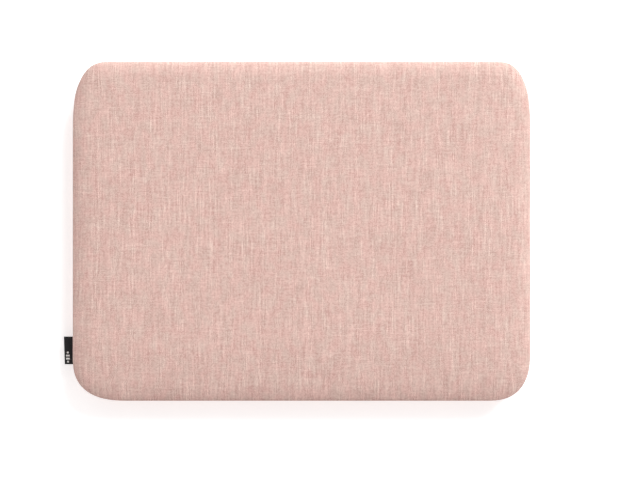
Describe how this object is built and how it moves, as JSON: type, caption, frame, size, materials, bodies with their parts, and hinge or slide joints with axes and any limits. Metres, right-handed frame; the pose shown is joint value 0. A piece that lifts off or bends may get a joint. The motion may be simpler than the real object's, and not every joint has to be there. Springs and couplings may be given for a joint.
{
  "type": "laptop sleeve",
  "caption": "Padded woven laptop sleeve that zips round three sides and opens like a book about its spine.",
  "frame": {"origin": "centre of the back panel's outer face, which the sleeve lies on", "axes": "+X along the sleeve's length, +Y from the spine to the mouth, +Z out of the front cover"},
  "size_m": [0.3352, 0.243, 0.026],
  "materials": {
    "woven_cover": "matte",
    "foam": "matte",
    "plush_lining": "matte",
    "zip_tape": "matte",
    "zip_coil": "satin",
    "thread": "matte",
    "label_ribbon": "matte",
    "slider_metal": "satin",
    "pull_leather": "matte"
  },
  "bodies": {
    "back_shell": {"back_outer_panel": "woven_cover", "back_foam_pad": "foam", "back_edge_bumper": "foam", "back_lining": "plush_lining", "back_seam_binding": "zip_tape", "back_zip_tape": "zip_tape", "back_zip_coil": "zip_coil", "back_seam_thread": "thread", "spine_gusset": "woven_cover", "spine_lining": "plush_lining", "zip_end_tab_left": "woven_cover", "zip_end_tab_right": "woven_cover", "zip_guard": "plush_lining", "side_label": "label_ribbon"},
    "front_cover": {"front_outer_panel": "woven_cover", "front_foam_pad": "foam", "front_edge_bumper": "foam", "front_lining": "plush_lining", "front_seam_binding": "zip_tape", "front_zip_tape": "zip_tape", "front_zip_coil": "zip_coil", "front_seam_thread": "thread"},
    "left_slider": {"left_slider_body": "slider_metal", "left_slider_bail": "slider_metal"},
    "left_pull": {"left_pull_link": "slider_metal", "left_pull_tab": "pull_leather"},
    "right_slider": {"right_slider_body": "slider_metal", "right_slider_bail": "slider_metal"},
    "right_pull": {"right_pull_link": "slider_metal", "right_pull_tab": "pull_leather"}
  },
  "joints": [
    {"name": "cover_hinge", "type": "hinge", "parent": "back_shell", "child": "front_cover", "pos_m": [0, -0.122, 0.013], "axis": [1, 0, 0], "range_deg": [0, 180], "deforming": ["spine_gusset", "spine_lining", "zip_end_tab_left", "zip_end_tab_right"]},
    {"name": "left_slider_travel", "type": "slide", "parent": "back_shell", "child": "left_slider", "axis": [-1, 0, 0], "range_m": [0, 0.12]},
    {"name": "right_slider_travel", "type": "slide", "parent": "back_shell", "child": "right_slider", "axis": [1, 0, 0], "range_m": [0, 0.12]},
    {"name": "left_pull_swing", "type": "hinge", "parent": "left_slider", "child": "left_pull", "pos_m": [-0.009, 0.1193, 0.013], "axis": [0, 0, -1], "range_deg": [0, 150]},
    {"name": "right_pull_swing", "type": "hinge", "parent": "right_slider", "child": "right_pull", "pos_m": [0.009, 0.1193, 0.013], "axis": [0, 0, 1], "range_deg": [0, 150]}
  ]
}
